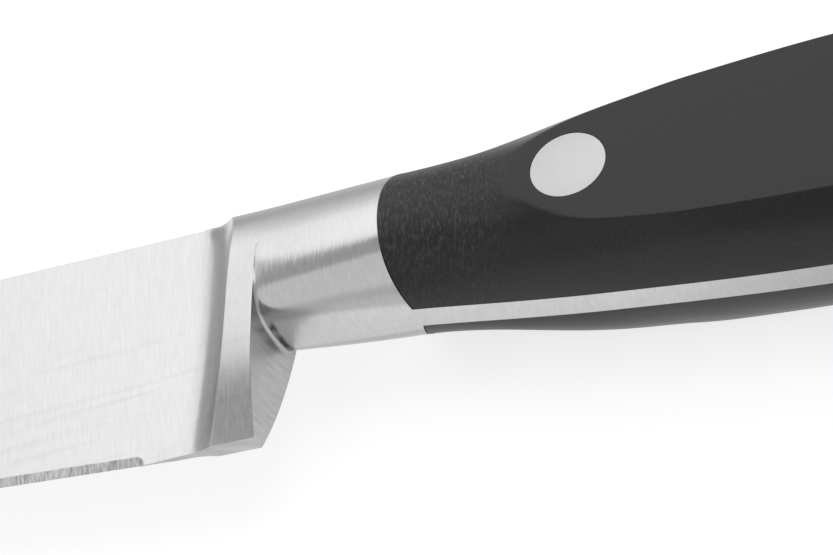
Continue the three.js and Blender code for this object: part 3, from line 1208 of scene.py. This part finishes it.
rear_edge = guard_ring(at_rear)
neck_root = neck_ring(at_rear)
rear_width = np.linalg.norm(neck_root - rear_edge, axis=1)
edge_inset = np.where(stepped, np.minimum(rear_rounding, most_edge_share * rear_width), rear_rounding)
corner_inset = np.where(stepped, np.minimum(corner_radius, most_corner_share * rear_width), corner_radius)
inward = (neck_root - rear_edge) / np.maximum(rear_width, no_width)[:, None]
inward = np.where(stepped[:, None], inward, 0.0)

joint_x = np.zeros(kind.shape)
for _ in range(settling_rounds):
    joint_x = -shoulder_draft * np.clip(neck_ring(joint_x)[:, 2] - tang_face, 0, None)
joint_x = np.where(top | bottom, 0.0, joint_x)
joint = neck_ring(joint_x)
tang_share = (joint[0, 1] - joint[:, 1]) / (joint[0, 1] - joint[-1, 1])
print(f"rear face up to {rear_width[stepped].max():.1f} mm deep, joint from {joint_x.min():.2f} to 0 mm")


def tang_ring(x):
    section = handle_section(x)
    half = np.minimum(tang_face, section.half)
    above = section.at_width(half, 1)
    below = section.at_width(half, -1)
    z = np.select([top, bottom], [half * share, half * (1 - share)], half)
    y = mix(above, below, tang_share)
    y = np.select([top, bottom], [section.at_width(z, 1), section.at_width(z, -1)], y)
    return stack(x, y, z)


# %% Columns along the forging
shoulder_step = 0.05
butt_start = handle_length - butt_rounding
butt_closing = 1.5
tip_crowding = 1.3
runout_lead = 1.6
runout_margin = 0.2
runout_start = bevel_end - runout_lead * bevel_runout
runout_end = bevel_end + runout_margin
tip_columns, blade_columns, runout_columns, heel_columns = 70, 24, 16, 8
fillet_columns, ridge_columns, side_columns, neck_columns = 22, 5, 12, 24
rear_edge_columns, rear_face_columns, rear_corner_columns = 4, 12, 5
tang_columns, butt_columns = 90, 14


def butt_stations(closing, count):
    """Places along the rounded butt, closer together towards its end."""
    return [butt_start + butt_rounding * math.sin(a) for a in closing * steps(count)]


sweep_end = tip_x + edge_sweep
columns = [blade_ring(x) for x in mix(tip_x, sweep_end, np.linspace(0, 1, tip_columns) ** tip_crowding)]
columns += [blade_ring(x) for x in mix(sweep_end, runout_start, steps(blade_columns))]
columns += [blade_ring(x) for x in mix(runout_start, runout_end, steps(runout_columns))]
root = along_fillet(np.zeros(kind.shape))
columns += [blade_ring(mix(runout_end, root[:, 0], s)) for s in steps(heel_columns)[:-1]]
before = along_fillet(fillet_length - ridge_rounding)
after = along_fillet(fillet_length + ridge_rounding)
columns += [along_fillet(s * (fillet_length - ridge_rounding)) for s in np.linspace(0, 1, fillet_columns)]
columns += list(bend(before, along_fillet(fillet_length), after, steps(ridge_columns)))
columns += [guard_ring(mix(after[:, 0], guard_rear - edge_inset, s)) for s in steps(side_columns)]
print(f"{len(columns)} rings from the tip to the guard's rear edge")

# %% Columns of the rear face, the neck and the tang
face_start = rear_edge + inward * edge_inset[:, None]
face_end = neck_root - inward * corner_inset[:, None]
neck_start = neck_ring(guard_rear + corner_inset)
rear_path = np.concatenate([
    bend(columns[-1], rear_edge, face_start, steps(rear_edge_columns)),
    between(face_start, face_end, steps(rear_face_columns)),
    bend(face_end, neck_root, neck_start, steps(rear_corner_columns)),
])
spread = guard_rear + mix(-edge_inset, corner_inset, steps(len(rear_path))[:, None])
smooth_side = np.array([
    np.where((x > guard_rear)[:, None], neck_ring(x), guard_ring(x)) for x in spread
])
columns += list(np.where(stepped[None, :, None], rear_path, smooth_side))
columns += [neck_ring(mix(neck_start[:, 0], joint_x, s)) for s in steps(neck_columns)]

strip = top | bottom | (crown & (share == 0))
at_shoulder = stack(0.0, joint[:, 1], tang_face)
past_shoulder = stack(shoulder_step, joint[:, 1], joint[:, 2])
columns.append(np.where(strip[:, None], past_shoulder, at_shoulder))
tang_stations = mix(2 * shoulder_step, butt_start, np.linspace(0, 1, tang_columns))
for x in [*tang_stations, *butt_stations(butt_closing, butt_columns)]:
    columns.append(tang_ring(np.full(kind.shape, x)))
print(f"{len(columns)} rings from the tip to the butt")

# %% Forging mesh
tang_hole = {"hole": 2.4, "low": -2.0, "high": 2.0, "easing": 0.0}
tang_hole_corners = [("axis", "high"), ("hole", "high"), ("hole", "low"), ("axis", "low")]
forging_crease = 34
other_side = np.array([1, 1, -1])

left = np.array(columns)
right = left[:, -2:0:-1] * other_side
forging_skin = skin(np.concatenate([left, right], axis=1))
tang_drill = turned_at_rivets("tang_drill", tang_hole, tang_hole_corners)
forging = finished("blade_forging_skin", drilled(forging_skin, tang_drill), forging_steel, forging_crease)

# %% [markdown]
# ## The scales
# A scale is the outside of the same grip, from the tang's edge over the top, down the broad flat and
# under the belly. The flat is where the oval would stand prouder than the handle is thick, so the oval is
# held back there, with a soft crease, and under the front of the flat the grip dips a little. The front
# end leans with the shoulder and has its edges eased.

# %% Scale rings
front_softness = 0.05
rear_softness = 0.03
softness_change = (16.0, 30.0)
dip_depth = 0.5
dip_from = (1.57, 1.9)
dip_to = (2.0, 2.5)
dip_start = (8.0, 14.5)
dip_end = (16.0, 23.0)
least_flat = math.radians(4)
scale_rows = (24, 44, 44)
scale_closing = 1.46
row_crowding = 1.6
inner_rows = 10
outer_count = sum(scale_rows) + 1


def scale_ring(x):
    """Closed ring of a left scale at its own x for every point: outside from top to bottom, then inside."""
    section = handle_section(x)
    half_flat = np.minimum(flat_face / section.half, 1.0)
    first = section.angle_of(tang_face, 1)
    last = section.angle_of(tang_face, -1)
    above = np.minimum(np.arcsin(half_flat ** (section.upper / 2)), np.pi / 2 - least_flat)
    below = np.pi - np.minimum(np.arcsin(half_flat ** (section.lower / 2)), np.pi / 2 - least_flat)
    a, b, c = scale_rows
    marks = np.concatenate([np.arange(a) / a, 1 + np.arange(b) / b, 2 + np.arange(c + 1) / c])
    marks = np.concatenate([marks, np.full(inner_rows, 3.0)])
    angle = np.select(
        [marks < 1, marks < 2],
        [mix(above, first, clamp01(1 - marks) ** row_crowding), mix(above, below, ease(marks, 1, 2))],
        mix(below, last, clamp01(marks - 2) ** row_crowding),
    )
    y, z = section.at_angle(angle)
    dip = ease(angle, *dip_from) * (1 - ease(angle, *dip_to))
    z = z - dip_depth * dip * ease(x, *dip_start) * (1 - ease(x, *dip_end))
    soft = mix(front_softness, rear_softness, ease(x, *softness_change))
    z = -soft * np.logaddexp(-z / soft, -flat_face / soft)
    inside = np.concatenate([np.zeros(outer_count), steps(inner_rows + 1)[:-1]])
    back = section.at_width(tang_face, 1)
    belly = section.at_width(tang_face, -1)
    y = np.where(inside > 0, mix(belly, back, inside), y)
    z = np.where(inside > 0, tang_face, np.maximum(z, tang_face))
    return stack(x, y, z)


ring_size = outer_count + inner_rows
print(f"{ring_size} points round a scale")


# %% Front of a scale
def front_x(z):
    return shoulder_gap - shoulder_draft * (z - tang_face)


front_rounding = 0.15
first_x = np.zeros(ring_size)
for _ in range(settling_rounds):
    first_x = front_x(scale_ring(np.maximum(first_x, 0.0))[:, 2])


def early_ring(x):
    """Scale ring that also reaches ahead of the joint, where the grip is the neck."""
    handle = scale_ring(np.maximum(x, 0.0))
    return np.concatenate([x[:, None], handle[:, 1:]], axis=1)


front = early_ring(first_x)
ahead = np.roll(front, -1, axis=0) - np.roll(front, 1, axis=0)
outward = np.stack([ahead[:, 2], -ahead[:, 1]], axis=1)
outward /= np.linalg.norm(outward, axis=1)[:, None]
middle = front[:, 1:].mean(axis=0)
facing = np.sign(((front[:, 1:] - middle) * outward).sum(axis=1))[:, None]
inset = front.copy()
outer = np.arange(ring_size) < outer_count
inset[:, 1:] -= np.where(outer[:, None], outward * facing * front_rounding, 0.0)
inset[:, 2] = np.maximum(inset[:, 2], tang_face)
inset[:, 0] = front_x(inset[:, 2])
eased = early_ring(first_x + front_rounding)
print(f"front of a scale from {first_x.min():.2f} to {first_x.max():.2f} mm")

# %% Scales
front_end = 8.0
swell_rings_end = 30.0
eased_rings, front_rings, swell_rings, flat_rings, butt_rings = 6, 24, 60, 70, 18
scale_crease = 40
head_radius = 3.5
head_seat = 5.8
sleeve_radius = 2.3
drill_fit = 0.05
head_fit = 0.02
drill_reach = 10.0

rings = [inset, *bend(inset, front, eased, steps(eased_rings))]
rings += [early_ring(mix(first_x + front_rounding, front_end, s)) for s in steps(front_rings)]
flat_stations = [
    *mix(front_end, swell_rings_end, steps(swell_rings)),
    *mix(swell_rings_end, butt_start, steps(flat_rings)),
    *butt_stations(scale_closing, butt_rings),
]
rings += [scale_ring(np.full(ring_size, x)) for x in flat_stations]
left_rings = np.array(rings)
scale_corners = [
    ("axis", "inside"), ("sleeve", "inside"), ("sleeve", "seat"),
    ("head", "seat"), ("head", "outside"), ("axis", "outside"),
]


def scale_drill(side):
    """Drill for the sleeve, with a counterbore for the rivet head."""
    sizes = {
        "sleeve": sleeve_radius + drill_fit, "head": head_radius + head_fit, "easing": 0.0,
        "inside": 0.0, "seat": head_seat * side, "outside": drill_reach * side,
    }
    return turned_at_rivets("scale_drill", sizes, scale_corners)


def scale_piece(name, side_rings, side):
    data = drilled(skin(side_rings), scale_drill(side))
    return finished(name, data, scale_plastic, scale_crease)


left_scale = scale_piece("left_scale_skin", left_rings, 1)
right_scale = scale_piece("right_scale_skin", left_rings * other_side, -1)

# %% [markdown]
# ## The rivets
# Each rivet is two turned pieces: a sleeve with a head on the left side and a blind bore, and a pin with
# a head on the right side that is pressed into the bore. The heads lie flush with the flats.

# %% Rivet sleeves and pins
rivet_crease = 30
sleeve_sizes = {
    "head": head_radius, "shank": sleeve_radius, "bore": 1.55,
    "face": flat_face, "seat": head_seat, "end": -5.5, "bore end": 3.8, "easing": 0.06,
}
sleeve_corners = [
    ("axis", "face"), ("head", "face"), ("head", "seat"), ("shank", "seat"),
    ("shank", "end"), ("bore", "end"), ("bore", "bore end"), ("axis", "bore end"),
]
pin_sizes = {
    "head": head_radius, "shank": 1.5, "face": -flat_face, "seat": -head_seat, "end": 3.5, "easing": 0.06,
}
pin_corners = [
    ("axis", "face"), ("head", "face"), ("head", "seat"),
    ("shank", "seat"), ("shank", "end"), ("axis", "end"),
]
sleeve_data = turned_at_rivets("sleeves", sleeve_sizes, sleeve_corners)
sleeves = finished("rivet_sleeves", sleeve_data, rivet_steel, rivet_crease)
pins = finished("rivet_pins", turned_at_rivets("pins", pin_sizes, pin_corners), rivet_steel, rivet_crease)

# %% [markdown]
# ## The studio
# Steel shows the room more than itself, so the room is built from what the photograph shows in the steel:
# a grey room, one large soft panel above and behind the knife, a smaller and weaker one in front, and a
# white table. The table is lifted a little for the eye and for reflections, so that it reads white and
# keeps the shadow.

# %% Panels
room_grey = 0.5
panel_distance = 1.6
aimed_at = Vector(lay_down((guard_rear, guard_oval.middle, 0.0)))


def soft_panel(name, azimuth, elevation, spin, half_width, half_height, radiance):
    """A soft panel seen from the bolster in a direction; its half sizes are shares of its distance."""
    a = math.radians(azimuth)
    e = math.radians(elevation)
    toward = Vector((math.sin(a) * math.cos(e), math.cos(a) * math.cos(e), math.sin(e)))
    right = Vector((0, 0, 1)).cross(toward).normalized()
    light = bpy.data.lights.new(name, "AREA")
    light.shape = "RECTANGLE"
    light.size = 2 * half_width * panel_distance
    light.size_y = 2 * half_height * panel_distance
    light.energy = radiance * math.pi * light.size * light.size_y
    lamp = link(name, light)
    lamp.visible_camera = False
    aim = Matrix((right, toward.cross(right), toward)).transposed().to_4x4()
    aim @= Matrix.Rotation(math.radians(spin), 4, "Z")
    lamp.matrix_world = Matrix.Translation(aimed_at + toward * panel_distance) @ aim
    print(f"{name}: {light.size:.2f} by {light.size_y:.2f} m, {light.energy:.1f} W")


soft_panel(
    "key_panel", azimuth=-5.0, elevation=52.0, spin=5.0, half_width=0.712, half_height=0.585, radiance=1.0
)
soft_panel(
    "front_panel", azimuth=-133, elevation=28.5, spin=0, half_width=0.62, half_height=0.53, radiance=0.35
)

# %% Table and room
table_size = 12.0
table_grey = 0.42
table_rough = 0.9
table_lift = 0.74


def table_finish():
    material, wire = new_finish("white_table", table_grey, table_rough, metal=0.0)
    rays = ("Is Camera Ray", "Is Glossy Ray", "Is Transmission Ray")
    seen, glossy, through = (wire.add("ShaderNodeLightPath", output=ray) for ray in rays)
    connect(material, emission_color=(seen + glossy + through) * table_lift)
    material.node_tree.nodes["Principled BSDF"].inputs["Emission Strength"].default_value = 1.0
    return material


table_half = table_size / 2
table_corners = [(x * table_half, y * table_half, 0) for x, y in ((-1, -1), (1, -1), (1, 1), (-1, 1))]
table_data = bpy.data.meshes.new("table")
table_data.from_pydata(table_corners, [], [(0, 1, 2, 3)])
table_data.materials.append(table_finish())
table = link("table", table_data)

room = bpy.data.worlds.new("room")
room.use_nodes = True
room.node_tree.nodes["Background"].inputs["Color"].default_value = (room_grey, room_grey, room_grey, 1)
bpy.context.scene.world = room
bpy.context.scene.view_settings.view_transform = "Standard"
print(f"table {table_size:.0f} m wide, room at {room_grey}")

# %% [markdown]
# ## Handing over
# Every piece rides on the knife's one body and stands for the imported parts it covers, which are
# hidden; the name of its material slot is only printed.

# %% Hand over
for piece, slot_name, nodes in (
    (forging, "blade_steel", ["blade_forging"]),
    (left_scale, "scale_plastic", ["left_scale"]),
    (right_scale, "scale_plastic", ["right_scale"]),
    (sleeves, "rivet_steel", [f"{name}_rivet_sleeve" for name in rivet_names]),
    (pins, "rivet_steel", [f"{name}_rivet_pin" for name in rivet_names]),
):
    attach(piece, "root")
    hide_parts(*nodes)
    print(f"{piece.name}: {slot_name}, in place of {len(nodes)} packed parts")
